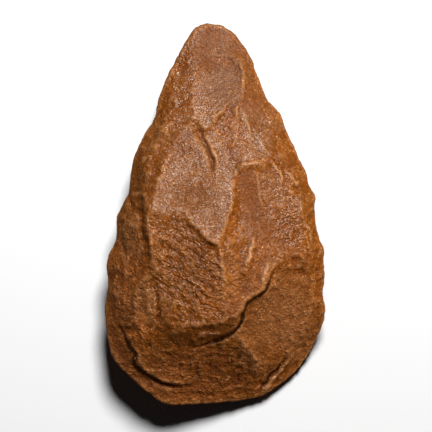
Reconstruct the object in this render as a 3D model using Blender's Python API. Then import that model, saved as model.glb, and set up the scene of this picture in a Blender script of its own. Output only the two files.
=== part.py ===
"""Stone hand axe: a pear-shaped biface knapped from one quartzite cobble, modelled as one solid.

It lies on its flatter face. The origin is at the middle of the box's underside, the tip points
along +Y, the width runs along X and the thickness along Z. Numbers in the tables are
millimetres in that frame, before the finished form is trued to the driving dimensions.

Each face is a skin stretched between hand-placed arrises, the ridges where two flake scars
meet, and sags a little between them, as a flake scar does. Edge flakes, steps, grooves and low
ridges are then carved into it. A cube rounded to a ball is wrapped over the two faces.
"""

import bmesh
import bpy
import numpy as np
from mathutils import noise

MM = 0.001
TURN = 2 * np.pi

# Driving dimensions of the finished stone, in millimetres.
LENGTH = 150.0
WIDTH = 85.8
THICKNESS = 40.0

# The outline is read as distances from this point, which sees all of it.
CENTRE = np.array([0.0, -20.0])

# Outline seen from above, clockwise from the tip.
OUTLINE = [
    (-3.1, 75.3), (1.8, 74.7), (6.5, 72.2), (9.9, 68.2), (13.3, 62.8), (16.0, 55.5), (18.2, 49.4),
    (19.7, 45.8), (22.6, 42.6), (25.0, 39.2), (28.4, 31.0), (32.2, 22.4), (35.2, 16.4), (36.4, 10.8),
    (38.5, 7.4), (38.5, 1.6), (40.3, -9.5), (42.2, -14.0), (41.8, -18.8), (42.6, -24.0), (41.8, -32.0),
    (43.0, -37.5), (41.8, -44.4), (38.4, -52.8), (33.0, -61.2), (24.4, -68.6), (19.2, -72.0),
    (13.4, -73.4), (-1.4, -74.9), (-10.0, -75.1), (-21.2, -74.2), (-25.6, -71.0), (-32.5, -64.8),
    (-39.2, -57.6), (-42.3, -46.6), (-42.9, -37.0), (-41.6, -29.0), (-42.0, -19.5), (-40.9, -15.2),
    (-39.8, -13.4), (-38.2, -6.6), (-38.2, -1.6), (-36.0, 3.4), (-33.6, 8.2), (-32.6, 17.0),
    (-31.6, 22.2), (-27.4, 31.4), (-23.4, 38.6), (-21.8, 45.8), (-18.0, 55.6), (-12.2, 66.8),
    (-8.0, 73.3),
]

# Knapped edge: bearing from CENTRE in degrees from +X, height, half thickness, and how suddenly
# a face turns over into it.
EDGE = [
    (-86, 7.0, 3.2, 8), (-79, 5.0, 2.8, 10), (-65, 3.6, 2.4, 12), (-50, 3.2, 2.2, 14),
    (-38, 4.8, 2.3, 16), (-20, 12.8, 2.5, 18), (0, 18.5, 2.5, 20), (20, 19.0, 2.5, 20),
    (40, 17.5, 2.5, 20), (60, 14.5, 2.5, 20), (76, 10.5, 2.5, 16), (90, 8.0, 3.0, 10),
    (100, 11.5, 2.5, 16), (115, 15.5, 2.5, 20), (135, 17.0, 2.5, 20), (160, 17.5, 2.5, 20),
    (175, 17.5, 2.5, 20), (190, 17.5, 2.5, 18), (205, 16.5, 2.2, 14), (216, 17.0, 2.0, 12),
    (226, 18.0, 1.8, 10), (242, 17.0, 1.8, 9), (254, 13.5, 2.2, 8), (265, 9.5, 3.0, 8),
]

# Arrises of the upper face: (x, y, z) along each ridge.
UPPER_ARRISES = {
    "tip scar, left": [
        (-6, 70, 12.4), (-8.2, 64, 14.2), (-7.8, 57, 15.8), (-8.4, 51, 18.0), (-9.2, 44.5, 20.4),
        (-8, 37.5, 23.1),
    ],
    "tip scar, lip": [
        (-3, 62.6, 14.5), (1, 63.2, 14.2), (5, 62.2, 14.4), (7.4, 61, 14.7), (9.8, 57.5, 15.6),
    ],
    "tip scar, head": [(-7.8, 57, 15.8), (-3, 56.2, 14.9), (3, 56.4, 14.9), (8.4, 57.2, 15.0)],
    "tip scar, right": [(9.8, 57.5, 15.6), (11, 53, 17.2), (10.6, 48, 18.8), (8, 45.6, 20.0)],
    "tip scar, end": [
        (-8, 37.5, 23.1), (-4, 32.2, 24.6), (-1, 35, 23.6), (2.5, 39.3, 22.2), (5.3, 43, 20.9),
        (8, 45.6, 20.0),
    ],
    "plate, left": [
        (-8, 37.5, 23.1), (-11.5, 33, 24.4), (-14.5, 29.5, 25.7), (-17, 25, 27.2), (-19, 19.5, 29.0),
        (-21.5, 14, 30.8), (-22.6, 9, 32.4), (-24, 4.2, 33.8),
    ],
    "plate, right": [
        (-4, 32.2, 24.6), (-2.9, 27.5, 26.0), (-2.2, 22.5, 27.6), (-1.6, 17, 29.2), (-2.2, 11.5, 30.9),
        (0.5, 8, 31.9), (2.5, 3.5, 33.3), (3.8, -1.5, 34.8),
    ],
    "plate, foot": [
        (-26.2, 3, 33.4), (-24, 2.2, 34.3), (-19.7, 0.9, 34.8), (-14, 2, 34.4), (-10.5, -1.2, 35.3),
        (-8, -5, 36.3), (-5.6, -7.2, 37.0), (-3.3, -10.2, 37.8), (0.8, -11.7, 38.2),
    ],
    "crest": [(8, 45.6, 20.0), (8.3, 42, 21.1), (8.6, 36, 22.9), (8.4, 30, 24.8), (8, 24, 26.6)],
    "plate, edge": [
        (8, 24, 26.6), (8.2, 19, 28.4), (7.6, 14.5, 29.8), (6.6, 9, 31.5), (5.5, 2.2, 33.6),
        (3.8, -1.5, 34.8), (3, -6.5, 36.4), (0.8, -11.7, 38.2),
    ],
    "spine": [(0.8, -11.7, 38.2), (2.2, -18.5, 37.4), (3, -27, 36.8), (3.6, -33, 36.3), (4.2, -40, 35.8)],
    "plateau, rise": [
        (-3.3, -10.2, 37.8), (-5, -16, 36.6), (-5.8, -24, 36.5), (-6.4, -33, 36.2), (-6, -42.8, 35.2),
    ],
    "left crest": [
        (-16.5, 48, 17.8), (-18.5, 40, 20.4), (-21, 33, 22.6), (-24.5, 26, 24.4), (-26.6, 18, 26.6),
        (-27, 9, 29.8), (-26.2, 3, 33.4), (-26, -3, 34.4), (-25.4, -10, 35.0), (-24.6, -16, 35.0),
        (-22, -22, 34.8),
    ],
    "left slope": [
        (-22, -22, 34.8), (-27, -25, 32.8), (-30, -30, 31.2), (-31.2, -36, 30.4), (-30.6, -42, 29.8),
        (-28.6, -48, 28.8),
    ],
    "left shoulder": [
        (-37.4, -18, 24.0), (-39.2, -25, 24.4), (-39.4, -33, 24.6), (-37.8, -40, 25.0),
        (-35.4, -45.6, 25.4),
    ],
    "plateau, corner": [(-16, -34, 34.8), (-18.6, -40, 33.6), (-17, -45.6, 32.8)],
    "left bulge": [
        (-33.6, 6, 22.8), (-35.2, 1, 24.4), (-35.2, -5, 25.2), (-35.8, -11, 25.2), (-37.4, -18, 24.0),
    ],
    "scar, lip foot": [
        (8, 24, 26.6), (9.2, 21.6, 27.3), (12.5, 22, 27.0), (16, 21.6, 26.6), (19, 20.4, 26.4),
    ],
    "scar, lip": [(8.2, 19, 28.4), (9.4, 18.6, 29.2), (12.5, 19, 28.8), (16, 18.7, 28.2), (18.8, 18, 27.4)],
    "scar, left": [(9.8, 14.5, 29.2), (9.6, 9, 29.6), (9, 2.2, 30.6), (8.2, -5, 32.6), (5.4, -12, 36.4)],
    "scar, right": [
        (18.8, 18, 27.4), (18.4, 12, 27.6), (18.6, 6, 28.2), (17.8, 0, 29.2), (16.4, -7, 31.0),
        (14.4, -13, 33.2), (11, -22, 35.4),
    ],
    "right flank": [
        (8.3, 42, 21.1), (11.5, 38.5, 21.4), (16, 31, 22.8), (19, 26.5, 24.0), (24, 22.8, 23.6),
        (28, 20.5, 22.6),
    ],
    "right crest": [
        (13.6, 55, 14.6), (15.4, 50, 16.0), (19.6, 40.5, 18.2), (24.5, 30, 20.6), (28, 20.5, 22.6),
        (31.6, 12, 24.4), (33.5, 4, 26.0), (34.5, -5, 27.0), (36, -13, 26.6), (37, -17.6, 25.4),
    ],
    "ledge, end": [
        (-17, -45.6, 32.8), (-14, -44.4, 33.8), (-11, -43.2, 34.6), (-6, -42.8, 35.2),
        (0, -42.2, 35.4), (4.2, -40, 35.8), (7.6, -39.4, 35.4),
    ],
    "ledge, top": [
        (7.6, -39.4, 35.4), (10.6, -36.6, 35.2), (13.5, -33.4, 34.8), (18.4, -28.6, 33.7),
        (20.7, -24, 32.9), (23.3, -18.9, 31.6),
    ],
    "ledge, middle": [
        (-15, -48.6, 30.8), (-11, -48, 30.6), (-5, -47.5, 30.6), (1.5, -46.8, 30.8), (6, -44.6, 31.3),
        (9, -41.4, 32.4),
    ],
    "ledge, foot": [
        (-14, -52.8, 27.6), (-10, -52.5, 27.0), (-5, -51.7, 26.9), (-0.5, -50.3, 27.0), (4, -48.7, 27.4),
        (7.6, -46.3, 28.2), (10, -42.8, 29.2), (11.6, -38.8, 30.2), (14.8, -35, 30.6), (19, -30.8, 30.4),
        (21.8, -26.8, 30.2), (23.4, -22.6, 29.8),
    ],
    "lower right, top": [(23.3, -18.9, 31.4), (27.5, -17.4, 30.0), (32.5, -17, 28.2), (37, -17.6, 25.4)],
    "lower right, foot": [(23.4, -22.6, 29.8), (28.4, -19.8, 28.6), (33, -20, 26.8), (38, -22, 23.6)],
    "lower right, outer": [
        (38, -22, 23.6), (38, -30, 21.6), (37, -39, 18.8), (33.4, -48, 16.2), (27.6, -56.4, 13.6),
    ],
    "butt": [(7.6, -46.3, 28.2), (12, -52, 23.9), (16, -58, 18.8), (19.4, -64.4, 12.6)],
    "butt, right": [(27.6, -56.4, 13.6), (22.8, -62.6, 11.6), (18.2, -68, 9.0)],
    "rim bench, top": [
        (-35.4, -45.6, 25.4), (-33.4, -51, 25.8), (-31.4, -57.2, 25.2), (-29.4, -61, 24.2),
        (-26, -63.6, 22.8), (-21, -65.4, 21.6), (-15, -66.4, 20.2), (-9, -66.4, 18.6),
    ],
    "rim bench, foot": [
        (-36.4, -46.2, 23.6), (-34.8, -51.6, 22.8), (-33, -58, 22.0), (-30.8, -62, 21.0),
        (-26.6, -65, 20.0), (-21.2, -66.8, 19.4), (-15, -67.8, 18.2), (-9, -67.6, 17.4),
    ],
}

# Arrises of the face it lies on. The ring around the seat dips below zero and is ground off level.
SEAT_DIP = -0.5
LOWER_ARRISES = {
    "seat": [
        (0, 7, SEAT_DIP), (-8, 1, SEAT_DIP), (-11, -12, SEAT_DIP), (-9, -26, SEAT_DIP), (-2, -33, SEAT_DIP),
        (6, -30, SEAT_DIP), (10, -18, SEAT_DIP), (8, -3, SEAT_DIP), (0, 7, SEAT_DIP),
    ],
    "seat, middle": [(0, 7, SEAT_DIP), (-1, -13, SEAT_DIP), (-2, -33, SEAT_DIP)],
    "keel": [
        (0, 7, SEAT_DIP), (-2, 16, 0.5), (-3, 26, 1.0), (-1, 38, 1.9), (1, 50, 3.0), (0.5, 62, 4.4),
        (-1, 70, 5.6),
    ],
    "left, upper": [(-8, 1, SEAT_DIP), (-13, 8, 0.9), (-19, 15, 3.4), (-24, 22, 7.2), (-28, 27, 11.2)],
    "left, middle": [
        (-11, -12, SEAT_DIP), (-17, -13, 1.0), (-24, -11, 3.4), (-32, -12, 7.6), (-38.5, -13, 12.4),
    ],
    "left, lower": [(-9, -26, SEAT_DIP), (-15, -35, 1.0), (-24, -42, 4.0), (-32, -49, 8.4), (-37, -54, 12)],
    "butt, left": [(-2, -33, SEAT_DIP), (-6, -45, 0.8), (-9, -55, 2.4), (-14, -64, 4.8), (-16, -71, 7.0)],
    "butt, right": [(6, -30, SEAT_DIP), (10, -41, 0.6), (16, -50, 1.1), (23, -58, 1.3), (28, -62, 1.4)],
    "right, lower": [(10, -18, SEAT_DIP), (16, -23, 0.9), (24, -27, 2.5), (33, -32, 5.8), (40, -34, 9.6)],
    "right, middle": [(8, -3, SEAT_DIP), (15, -4, 1.1), (22, -1, 3.6), (30, 2, 8.0), (36, 3, 12.5)],
    "right, upper": [(0, 7, SEAT_DIP), (9, 12, 1.0), (15, 21, 3.2), (21, 28, 6.9), (26, 32, 11)],
    "tip, left": [(-3, 26, 1.0), (-10, 34, 4.0), (-16, 42, 7.4), (-19, 46, 9.6)],
    "tip, right": [(1, 50, 3.0), (7, 54, 4.6), (13, 56, 7.2)],
    "scar end, left": [(-13, 8, 0.9), (-15, 0, 1.6), (-17, -13, 1.0)],
    "scar end, right": [(15, -4, 1.1), (17, -13, 1.7), (16, -23, 0.9)],
}

# How hard each skin sags inwards between its arrises, as a curvature in 1/mm.
UPPER_SAG = 0.02
LOWER_SAG = 0.012

# Flakes off the edges: x, y, bearing of their length in degrees, half length, half width, depth.
UPPER_FLAKES = [
    (27.5, 29, 200, 7, 5.5, 0.9), (31.5, 21, 195, 6, 4, 0.9), (35.5, 10, 185, 6, 5, 1.0),
    (38.0, -4, 180, 6, 5.5, 0.6), (16.8, 50, 205, 5, 6, 0.8),
    (-15.8, 57, -20, 5, 6, 0.8), (-21.2, 43, -15, 5, 5, 0.9), (-26.0, 31, -12, 5, 5, 0.9),
    (-32, 15, -5, 5, 6, 0.9), (-38, -15, 0, 5, 4.5, 0.9), (-39.5, -26, 5, 6, 5, 1.1),
    (-40, -38, 10, 5, 6, 0.7),
]
LOWER_FLAKES = [
    (31, 14, 190, 9, 6, 1.3), (36, -14, 180, 8, 7, 1.4), (38, -40, 165, 8, 6, 1.2),
    (16, -65, 110, 8, 7, 0.5), (-26, -62, 50, 9, 7, 1.2), (-37, -34, 10, 8, 8, 1.5),
    (-34, 2, -5, 8, 7, 1.4), (-22, 34, -20, 7, 6, 1.2), (18, 42, 205, 7, 6, 1.1),
    (-12, 58, -25, 6, 6, 0.9), (8, 64, 215, 5, 5, 0.8),
]

# Steps of the upper face: path with the low side on its left, drop, and how far the low side reaches.
UPPER_STEPS = [
    ([(1.6, -16), (1, -12.8), (-2.8, -11), (-5.4, -8), (-8, -5.6), (-11.5, -2.6)], 0.8, 5),
    ([(8, 45.6), (5.3, 43), (2.5, 39.3), (-1, 35), (-4, 32.2), (-6, 35), (-8.2, 38.2)], 0.6, 4),
    ([(10.6, 48), (11, 53), (9.6, 58), (6, 61.4), (1, 62.6), (-3, 62)], 0.4, 6),
    ([(-28.5, 8), (-28.2, 1), (-27, -7), (-25.6, -16.5)], -0.8, 6),
]

# Grooves and low ridges of the upper face: path, height (below zero cuts in), half width.
UPPER_TRACES = [
    ([(-29.4, 5.5), (-28.9, 0), (-28.3, -6.5), (-27.4, -12.5), (-26.6, -17)], -1.6, 1.4),
    ([(-8.8, 36.6), (-6, 31), (-4, 27), (-1.8, 22), (-1, 15)], -1.0, 1.1),
    ([(-37.2, -6.6), (-36.2, -10.5), (-35.4, -14), (-35.4, -18)], -1.0, 1.1),
    ([(-27, -27), (-26.2, -33), (-25, -41)], 0.6, 1.4),
    ([(27, -16.6), (30.4, -17.8), (34, -18)], -1.0, 1.3),
    ([(31, -22.6), (36, -23.6), (40.4, -22.8)], -0.7, 1.4),
]

# The grid that each skin is worked out on, and its over-relaxation.
GRID_HALF = np.array([48.0, 80.0])
GRID_CELL = 0.5
COARSEST = 16
SWEEPS = 80
OVER_RELAX = 1.85

# Points on each leg of an arris and of a carved path, and the share of a path over which it fades.
ARRIS_POINTS = 40
PATH_POINTS = 5
END_FADE = 0.22

# How the ridges wander: over what distance, and how far. The seed fixes where.
STIRS = [(6.0, 0.7)]
STIR_SEED = 3

# Quads along each edge of the rounded cube.
CUBE_CUTS = 27

STONE_COLOUR = (0.235, 0.095, 0.034, 1.0)
STONE_ROUGHNESS = 0.45

# How near the ground plane counts as on it, in metres.
ON_GROUND = 1e-6


def closed_curve(bearings, values, at):
    """A smooth curve through values round the circle, read at the bearings given in radians."""
    bearings = np.mod(np.asarray(bearings, float), TURN)
    order = np.argsort(bearings)
    knots, values = bearings[order], np.asarray(values, float)[order]
    knots = np.concatenate([knots[-2:] - TURN, knots, knots[:3] + TURN])
    values = np.concatenate([values[-2:], values, values[:3]])
    gap = np.diff(knots)
    slope = np.diff(values) / gap
    tangent = np.zeros_like(values)
    tangent[1:-1] = (slope[:-1] * gap[1:] + slope[1:] * gap[:-1]) / (gap[:-1] + gap[1:])
    at = np.mod(at, TURN)
    i = np.clip(np.searchsorted(knots, at, side="right") - 1, 1, len(knots) - 3)
    u = (at - knots[i]) / gap[i]
    start = (2 * u**3 - 3 * u**2 + 1) * values[i] + (u**3 - 2 * u**2 + u) * gap[i] * tangent[i]
    end = (3 * u**2 - 2 * u**3) * values[i + 1] + (u**3 - u**2) * gap[i] * tangent[i + 1]
    return start + end


def polar(x, y):
    """Bearing and distance from CENTRE."""
    dx, dy = x - CENTRE[0], y - CENTRE[1]
    return np.arctan2(dy, dx), np.hypot(dx, dy)


def outline_radius(bearing):
    knots, radii = polar(*np.array(OUTLINE).T)
    return closed_curve(knots, radii, bearing)


def edge_shape(bearing):
    """Height, half thickness and turn of the edge at each bearing."""
    degrees, *columns = np.array(EDGE, float).T
    return [closed_curve(np.radians(degrees), column, bearing) for column in columns]


def bend(points, per_leg):
    """Points on a smooth curve through the given ones, per_leg for each stretch between two."""
    p = np.asarray(points, float)
    q = np.vstack([2 * p[0] - p[1], p, 2 * p[-1] - p[-2]])
    curve = []
    for a, b, c, d in zip(q, q[1:], q[2:], q[3:]):
        for t in np.arange(per_leg) / per_leg:
            curve.append(
                b + 0.5 * t * (c - a) + t**2 * (a - 2.5 * b + 2 * c - 0.5 * d)
                + t**3 * (1.5 * b - 1.5 * c + 0.5 * d - 0.5 * a)
            )
    curve.append(p[-1])
    return np.array(curve)


def read_grid(grid, cell, x, y):
    """Values between the nodes of a grid that starts at minus GRID_HALF."""
    gx = np.clip((x + GRID_HALF[0]) / cell, 0, grid.shape[1] - 1.001)
    gy = np.clip((y + GRID_HALF[1]) / cell, 0, grid.shape[0] - 1.001)
    ix, iy = gx.astype(int), gy.astype(int)
    fx, fy = gx - ix, gy - iy
    low = grid[iy, ix] * (1 - fx) + grid[iy, ix + 1] * fx
    high = grid[iy + 1, ix] * (1 - fx) + grid[iy + 1, ix + 1] * fx
    return low * (1 - fy) + high * fy


def relax(skin, free, pull):
    """Settles the free nodes to the mean of their neighbours, less pull."""
    rows, columns = np.indices(skin.shape)
    for _ in range(SWEEPS):
        for colour in (0, 1):
            chosen = free & ((rows + columns) % 2 == colour)
            mean = np.zeros_like(skin)
            mean[1:-1, 1:-1] = (skin[2:, 1:-1] + skin[:-2, 1:-1] + skin[1:-1, 2:] + skin[1:-1, :-2]) / 4
            skin = np.where(chosen, skin + OVER_RELAX * (mean - pull - skin), skin)
    return skin


def stretched_skin(arrises, side, sag):
    """The height of a skin held by the arrises and by the rim on its side, on the finest grid."""
    held = np.vstack([bend(line, ARRIS_POINTS) for line in arrises.values()])
    skin, cell = None, GRID_CELL * COARSEST
    while cell >= GRID_CELL:
        nx, ny = np.rint(2 * GRID_HALF / cell).astype(int) + 1
        x, y = np.meshgrid(
            np.linspace(-GRID_HALF[0], GRID_HALF[0], nx), np.linspace(-GRID_HALF[1], GRID_HALF[1], ny)
        )
        bearing, distance = polar(x, y)
        outside = distance >= outline_radius(bearing)
        middle, half, _ = edge_shape(bearing)
        height = middle + side * half
        total, count = np.zeros(x.shape), np.zeros(x.shape)
        ix, iy = np.rint((held[:, :2] + GRID_HALF) / cell).astype(int).T
        np.add.at(total, (iy, ix), held[:, 2])
        np.add.at(count, (iy, ix), 1)
        on_arris = (count > 0) & ~outside
        height = np.where(on_arris, total / np.maximum(count, 1), height)
        fixed = outside | on_arris
        start = height if skin is None else read_grid(skin, 2 * cell, x, y)
        skin = relax(np.where(fixed, height, start), ~fixed, sag * cell**2 / 4)
        cell /= 2
    return skin


def flakes_depth(flakes, x, y):
    """Depth of the deepest flake scar at each point."""
    depth = np.zeros(np.shape(x))
    for cx, cy, heading, half_length, half_width, deepest in flakes:
        a = np.radians(heading)
        u = ((x - cx) * np.cos(a) + (y - cy) * np.sin(a)) / half_length
        v = ((y - cy) * np.cos(a) - (x - cx) * np.sin(a)) / half_width
        depth = np.maximum(depth, deepest * (1 - u**2 - v**2))
    return depth


def distance_along(path, x, y):
    """Distance from a path, how far along it that is from 0 to 1, and whether it's on the left."""
    p = bend(path, PATH_POINTS)
    legs = np.diff(p, axis=0)
    lengths = np.hypot(*legs.T)
    starts = np.concatenate([[0], np.cumsum(lengths)])
    best, share, left = np.full(np.shape(x), np.inf), np.zeros(np.shape(x)), np.zeros(np.shape(x), bool)
    for corner, leg, length, start in zip(p, legs, lengths, starts):
        dx, dy = x - corner[0], y - corner[1]
        t = np.clip((dx * leg[0] + dy * leg[1]) / length**2, 0, 1)
        away = np.hypot(dx - t * leg[0], dy - t * leg[1])
        nearer = away < best
        share = np.where(nearer, (start + t * length) / starts[-1], share)
        left = np.where(nearer, leg[0] * dy - leg[1] * dx > 0, left)
        best = np.minimum(best, away)
    return best, share, left


def traces_height(traces, x, y):
    """Grooves and ridges, each dying away at its ends."""
    height = np.zeros(np.shape(x))
    for path, peak, half_width in traces:
        away, share, _ = distance_along(path, x, y)
        ends = np.clip(share / END_FADE, 0, 1) * np.clip((1 - share) / END_FADE, 0, 1)
        height += peak * ends * np.exp(-((away / half_width) ** 2))
    return height


def steps_height(steps, x, y):
    """Sheer drops on the left of a path, rising again with the distance from it."""
    height = np.zeros(np.shape(x))
    for path, drop, reach in steps:
        away, share, left = distance_along(path, x, y)
        ends = np.clip(share / END_FADE, 0, 1) * np.clip((1 - share) / END_FADE, 0, 1)
        height -= np.where(left, drop * ends * np.exp(-((away / reach) ** 2)), 0)
    return height


def stirred(x, y):
    """The points, each shifted a little, so that ridges run unevenly."""
    noise.seed_set(STIR_SEED)
    dx, dy = np.zeros(np.shape(x)), np.zeros(np.shape(x))
    for size, amount in STIRS:
        shifts = [noise.noise_vector((px / size, py / size, 0))[:2] for px, py in zip(x, y)]
        dx, dy = (dx, dy) + amount * np.array(shifts).T
    return x + dx, y + dy


def wrap(ball):
    """Carries points of a unit ball onto the stone: its top half to the upper face."""
    bearing = np.arctan2(ball[:, 1], ball[:, 0])
    share = np.sqrt(1 - np.abs(ball[:, 2]))
    radius = share * outline_radius(bearing)
    x, y = CENTRE[0] + radius * np.cos(bearing), CENTRE[1] + radius * np.sin(bearing)
    edge, _, sudden = edge_shape(bearing)
    sx, sy = stirred(x, y)
    upper = read_grid(stretched_skin(UPPER_ARRISES, 1, UPPER_SAG), GRID_CELL, sx, sy)
    upper += steps_height(UPPER_STEPS, sx, sy) + traces_height(UPPER_TRACES, sx, sy)
    upper -= flakes_depth(UPPER_FLAKES, sx, sy)
    lower = read_grid(stretched_skin(LOWER_ARRISES, -1, -LOWER_SAG), GRID_CELL, sx, sy)
    lower += flakes_depth(LOWER_FLAKES, sx, sy)
    turn = np.sqrt(1 - np.minimum(share, 1) ** sudden)
    face = np.where(ball[:, 2] >= 0, upper, lower)
    return np.column_stack([x, y, edge + (face - edge) * turn])


def true_to_size(points):
    """Scales and shifts the form so that its box is LENGTH by WIDTH by THICKNESS on the origin."""
    low, high = points.min(axis=0), points.max(axis=0)
    low[2] = 0.0
    size = np.array([WIDTH, LENGTH, THICKNESS])
    middle = np.array([(low[0] + high[0]) / 2, (low[1] + high[1]) / 2, 0.0])
    return (points - middle) * size / (high - low)


def rounded_cube():
    """A cube of small quads, blown out to a unit ball."""
    bm = bmesh.new()
    bmesh.ops.create_cube(bm, size=2.0)
    bmesh.ops.subdivide_edges(bm, edges=bm.edges[:], cuts=CUBE_CUTS, use_grid_fill=True)
    for vert in bm.verts:
        # Even angles between the rows keep the quads of one size.
        vert.co = [np.tan(c * np.pi / 4) for c in vert.co]
        vert.co.normalize()
    return bm


def grind_seat(bm):
    """Cuts off what dips below the ground, leaving one level seat."""
    everything = bm.verts[:] + bm.edges[:] + bm.faces[:]
    cut = bmesh.ops.bisect_plane(
        bm, geom=everything, dist=ON_GROUND, plane_co=(0, 0, 0), plane_no=(0, 0, -1), clear_outer=True
    )
    rim = [e for e in cut["geom_cut"] if isinstance(e, bmesh.types.BMEdge)]
    seat = bmesh.ops.holes_fill(bm, edges=rim, sides=0)["faces"]
    bmesh.ops.triangulate(bm, faces=seat)
    bmesh.ops.recalc_face_normals(bm, faces=bm.faces[:])


def stone_material():
    material = bpy.data.materials.new("brown quartzite")
    material.use_nodes = True
    shader = material.node_tree.nodes["Principled BSDF"]
    shader.inputs["Base Color"].default_value = STONE_COLOUR
    shader.inputs["Roughness"].default_value = STONE_ROUGHNESS
    shader.inputs["Metallic"].default_value = 0.0
    material.diffuse_color = STONE_COLOUR
    return material


def hand_axe(collection):
    bm = rounded_cube()
    ball = np.array([vert.co[:] for vert in bm.verts])
    for vert, point in zip(bm.verts, true_to_size(wrap(ball)) * MM):
        vert.co = point
    grind_seat(bm)
    mesh = bpy.data.meshes.new("hand_axe")
    bm.to_mesh(mesh)
    bm.free()
    mesh.materials.append(stone_material())
    mesh.shade_smooth()
    axe = bpy.data.objects.new("hand_axe", mesh)
    collection.objects.link(axe)
    return axe


def main():
    for old in list(bpy.data.objects):
        bpy.data.objects.remove(old)
    collection = bpy.data.collections.new("stone hand axe")
    bpy.context.scene.collection.children.link(collection)
    hand_axe(collection)


main()
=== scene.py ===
"""Looks of the stone hand axe: the knapped quartzite in full relief, on a pale floor under one soft lamp."""

import bmesh
import bpy
import numpy as np
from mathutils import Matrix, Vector, noise


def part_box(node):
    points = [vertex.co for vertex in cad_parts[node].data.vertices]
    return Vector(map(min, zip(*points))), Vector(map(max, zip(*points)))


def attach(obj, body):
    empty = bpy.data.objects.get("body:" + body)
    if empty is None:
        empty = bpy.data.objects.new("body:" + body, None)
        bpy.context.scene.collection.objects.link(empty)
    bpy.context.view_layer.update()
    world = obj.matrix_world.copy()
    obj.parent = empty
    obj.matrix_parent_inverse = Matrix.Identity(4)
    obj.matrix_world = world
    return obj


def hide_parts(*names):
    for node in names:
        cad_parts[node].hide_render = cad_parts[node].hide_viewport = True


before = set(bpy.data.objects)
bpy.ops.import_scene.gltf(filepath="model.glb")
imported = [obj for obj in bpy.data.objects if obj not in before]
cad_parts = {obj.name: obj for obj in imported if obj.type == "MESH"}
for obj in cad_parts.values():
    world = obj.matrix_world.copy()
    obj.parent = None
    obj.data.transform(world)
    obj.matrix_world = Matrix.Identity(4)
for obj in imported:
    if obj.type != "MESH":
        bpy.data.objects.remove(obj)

# Places and sizes on the stone are given in millimetres, and those of the room in metres.
MM = 0.001
TURN = 2 * np.pi
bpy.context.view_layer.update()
AXE_LOW, AXE_HIGH = (np.array(corner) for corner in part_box("hand_axe"))

# The outline is read as distances from this point, which sees all of it.
CENTRE = np.array([0.0, -20.0])

# Outline seen from above, clockwise from the tip.
OUTLINE = [
    (-3.1, 75.3), (1.8, 74.7), (6.5, 72.2), (9.9, 68.2), (13.3, 62.8), (16, 55.5), (18.2, 49.4),
    (19.7, 45.8), (22.6, 42.6), (25, 39.2), (28.4, 31), (32.2, 22.4), (35.2, 16.4), (36.4, 10.8),
    (38.5, 7.4), (38.5, 1.6), (40.3, -9.5), (42.2, -14), (41.8, -18.8), (42.6, -24), (41.8, -32),
    (43, -37.5), (41.8, -44.4), (38.4, -52.8), (33, -61.2), (24.4, -68.6), (19.2, -72),
    (13.4, -73.4), (-1.4, -74.9), (-10, -75.1), (-21.2, -74.2), (-25.6, -71), (-32.5, -64.8),
    (-39.2, -57.6), (-42.3, -46.6), (-42.9, -37), (-41.6, -29), (-42, -19.5), (-40.9, -15.2),
    (-39.8, -13.4), (-38.2, -6.6), (-38.2, -1.6), (-36, 3.4), (-33.6, 8.2), (-32.6, 17),
    (-31.6, 22.2), (-27.4, 31.4), (-23.4, 38.6), (-21.8, 45.8), (-18, 55.6), (-12.2, 66.8),
    (-8, 73.3),
]

# Knapped edge: bearing from CENTRE in degrees from +X, height, half thickness, and how suddenly
# a face turns over into it.
EDGE = [
    (-86, 7, 3.2, 8), (-79, 5, 2.8, 10), (-65, 3.6, 2.4, 12), (-50, 3.2, 2.2, 14),
    (-38, 4.8, 2.3, 16), (-20, 12.8, 2.5, 18), (0, 18.5, 2.5, 20), (20, 19, 2.5, 20),
    (40, 17.5, 2.5, 20), (60, 14.5, 2.5, 20), (76, 10.5, 2.5, 16), (90, 8, 3, 10),
    (100, 11.5, 2.5, 16), (115, 15.5, 2.5, 20), (135, 17, 2.5, 20), (160, 17.5, 2.5, 20),
    (175, 17.5, 2.5, 20), (190, 17.5, 2.5, 18), (205, 16.5, 2.2, 14), (216, 17, 2, 12),
    (226, 18, 1.8, 10), (242, 17, 1.8, 9), (254, 13.5, 2.2, 8), (265, 9.5, 3, 8),
]

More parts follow.
